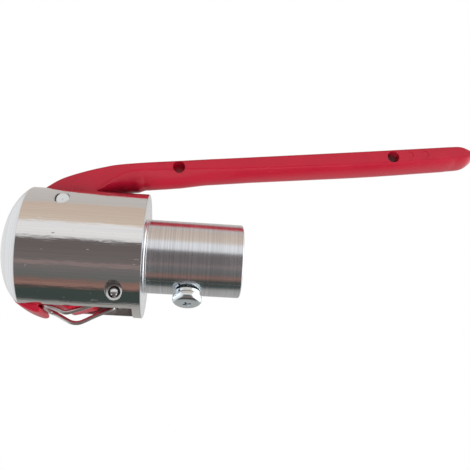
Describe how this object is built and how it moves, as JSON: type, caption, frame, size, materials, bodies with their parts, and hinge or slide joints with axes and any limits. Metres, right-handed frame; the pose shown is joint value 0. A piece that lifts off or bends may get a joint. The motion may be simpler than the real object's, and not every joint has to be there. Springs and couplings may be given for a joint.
{
  "type": "squeeze lever pull head",
  "caption": "Turned aluminium head with a pole socket and clamp screw, a red moulded squeeze lever on a cross pin, a wire return spring and an inner pull rod.",
  "frame": {"origin": "centre of the socket's mouth, on the head's axis", "axes": "+X along the head's axis and out of the socket, +Z towards the lever, so -Y is the side whose clamp screw shows"},
  "size_m": [0.1744, 0.045, 0.0765],
  "materials": {
    "turned_aluminium": "fine turned, bright",
    "red_plastic": "moulded, semi-gloss",
    "bright_pin_steel": "ground bright",
    "spring_wire": "drawn wire",
    "rod_steel": "drawn bar",
    "bronze": "sintered",
    "zinc_plated_steel": "blue zinc plate"
  },
  "bodies": {
    "head": {"head_body": "turned_aluminium", "pivot_pin": "bright_pin_steel", "anchor_sleeve_front": "bright_pin_steel", "anchor_sleeve_rear": "bright_pin_steel", "anchor_pin": "bright_pin_steel", "rod_guide_bush": "bronze", "return_spring": "spring_wire"},
    "lever": {"lever": "red_plastic", "pivot_bush": "bronze", "rod_pin": "bright_pin_steel"},
    "rod": {"pull_rod": "rod_steel", "rod_coupling_nut": "zinc_plated_steel"},
    "washer": {"lock_washer": "zinc_plated_steel"},
    "screw": {"clamp_screw": "zinc_plated_steel"}
  },
  "joints": [
    {"name": "lever_squeeze", "type": "hinge", "parent": "head", "child": "lever", "pos_m": [-0.0635, 0, 0.0143], "axis": [0, 1, 0], "range_deg": [0, 6], "stiffness_Nm_per_rad": 3, "springref_deg": -6.88, "deforming": ["return_spring"]},
    {"name": "rod_pull", "type": "slide", "parent": "head", "child": "rod", "axis": [-1, 0, 0], "range_m": [0, 0.002]},
    {"name": "washer_lift", "type": "slide", "parent": "head", "child": "washer", "axis": [0, -0.2419, -0.9703], "range_m": [0, 0.003]},
    {"name": "screw_turn", "type": "hinge", "parent": "washer", "child": "screw", "pos_m": [-0.0189, 0, 0], "axis": [0, -0.2419, -0.9703], "range_deg": [0, 1360]}
  ],
  "couplings": [
    {"joint": "rod_pull", "follows": "lever_squeeze", "m_per_rad": 0.0143},
    {"joint": "screw_turn", "follows": "washer_lift", "rad_per_m": 7854}
  ]
}
